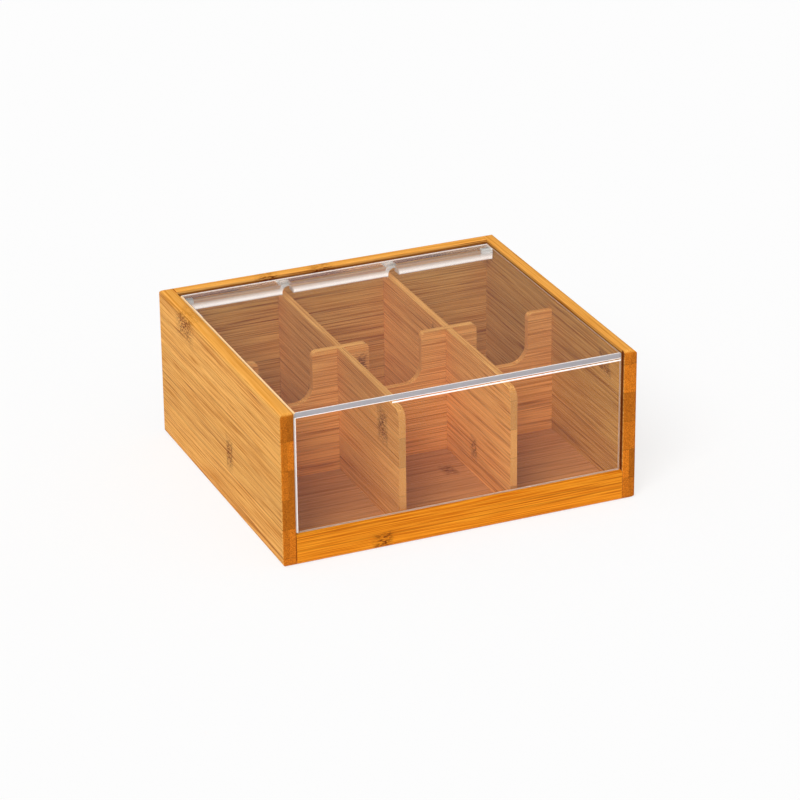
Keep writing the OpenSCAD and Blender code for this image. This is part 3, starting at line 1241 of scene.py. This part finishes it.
def studio_light(settings):
    """World light: dim at the horizon, bright overhead, with a dark card behind the box.

    The eye sees plain white in its place, straight on or straight through the clear lid.
    Mirrored rays see the dimmer studio, so that no white veil lies over the lid.
    """
    shade = Shader(bpy.data.worlds.new("studio_light"))
    towards = shade.add("TexCoord", None, None, "Generated")
    height = shade.add("SeparateXYZ", None, {"Vector": towards}, "Z")
    open_sky = shade.add(
        "MapRange", None,
        {"Value": height, "To Min": settings.sky_low, "To Max": settings.sky_high},
    )
    card_middle = view_direction(settings.azimuth, -settings.elevation)
    near_card = shade.add(
        "VectorMath", {"operation": "DOT_PRODUCT"}, {0: towards, 1: card_middle}, "Value"
    )
    left_by_card = shade.add(
        "MapRange", {"interpolation_type": "SMOOTHSTEP"},
        {
            "Value": near_card,
            "From Min": math.cos(settings.card_fade),
            "From Max": math.cos(settings.card_spread),
            "To Min": 1.0,
            "To Max": 1.0 - settings.card,
        },
    )
    seen, through, bounces = shade.rays("Is Camera Ray", "Is Transmission Ray", "Glossy Depth")
    level = shade.add(
        "Mix", {"data_type": "FLOAT"},
        {
            "Factor_Float": shade.math("MAXIMUM", seen, through - bounces),
            "A_Float": open_sky * left_by_card,
            "B_Float": 1.0,
        },
        "Result_Float",
    )
    return shade.finish(shade.add("Background", None, {"Color": opaque(WHITE), "Strength": level}))


def new_camera(settings):
    """Camera turned towards a point just right of and above the origin."""
    ahead = view_direction(settings.azimuth, settings.elevation)
    right = Vector((math.cos(settings.azimuth), -math.sin(settings.azimuth), 0))
    up = right.cross(ahead)
    target = right * settings.aim_right + up * settings.aim_up
    turn = Matrix.Rotation(-settings.roll, 3, ahead)
    facing = Matrix((turn @ right, turn @ up, -ahead)).transposed().to_4x4()
    camera = bpy.data.objects.new("camera", bpy.data.cameras.new("camera"))
    camera.data.lens = settings.lens
    camera.data.clip_end = settings.reach
    camera.matrix_world = Matrix.Translation(target - ahead * settings.distance) @ facing
    return camera


class TEABOX_OT_stage(bpy.types.Operator):
    """Lay the pale floor and set up the light and the camera"""

    bl_idname = "teabox.stage"
    bl_label = "Stage"

    def execute(self, context):
        scene = context.scene
        stage = scene.teabox_stage
        scene.view_settings.view_transform = "Standard"
        scene.world = studio_light(stage)

        mesh = bmesh.new()
        bmesh.ops.create_grid(mesh, x_segments=1, y_segments=1, size=stage.floor_size / 2)
        floor = mesh_object("floor", mesh, (floor_paper(stage),))

        key = bpy.data.lights.new("key", "SUN")
        key.energy = stage.key
        key.angle = stage.key_spread
        lamp = bpy.data.objects.new("key", key)
        lamp.rotation_euler = Vector(stage.key_side).to_track_quat("Z", "Y").to_euler()
        scene.collection.objects.link(lamp)

        scene.camera = new_camera(stage)
        scene.collection.objects.link(scene.camera)
        return {"FINISHED"}


# ---------------------------------------------------------------- add-on

OPERATORS = (
    TEABOX_OT_stage,
    TEABOX_OT_side_panels,
    TEABOX_OT_back_panel,
    TEABOX_OT_front_rail,
    TEABOX_OT_base_panel,
    TEABOX_OT_dividers,
    TEABOX_OT_top_sheet,
    TEABOX_OT_front_sheet,
    TEABOX_OT_hinge_bar,
    TEABOX_OT_hinge_pins,
    TEABOX_OT_dowels,
)


class TEABOX_PT_panel(bpy.types.Panel):
    """Sidebar panel that lists the pieces"""

    bl_idname = "TEABOX_PT_panel"
    bl_label = "Tea Bag Box"
    bl_space_type = "VIEW_3D"
    bl_region_type = "UI"
    bl_category = "Tea Box"

    def draw(self, context):
        for operator in OPERATORS:
            self.layout.operator(operator.bl_idname)


SETTINGS = {
    "teabox_bamboo": TEABOX_PG_bamboo,
    "teabox_acrylic": TEABOX_PG_acrylic,
    "teabox_hinge": TEABOX_PG_hinge,
    "teabox_stage": TEABOX_PG_stage,
}
CLASSES = (*SETTINGS.values(), *OPERATORS, TEABOX_PT_panel)


def register():
    for cls in CLASSES:
        bpy.utils.register_class(cls)
    for name, cls in SETTINGS.items():
        setattr(bpy.types.Scene, name, PointerProperty(type=cls))


def unregister():
    for name in SETTINGS:
        delattr(bpy.types.Scene, name)
    for cls in reversed(CLASSES):
        bpy.utils.unregister_class(cls)


def main():
    """Dress the whole box."""
    register()
    for operator in OPERATORS:
        group, name = operator.bl_idname.split(".")
        getattr(getattr(bpy.ops, group), name)()


if __name__ == "__main__":
    main()
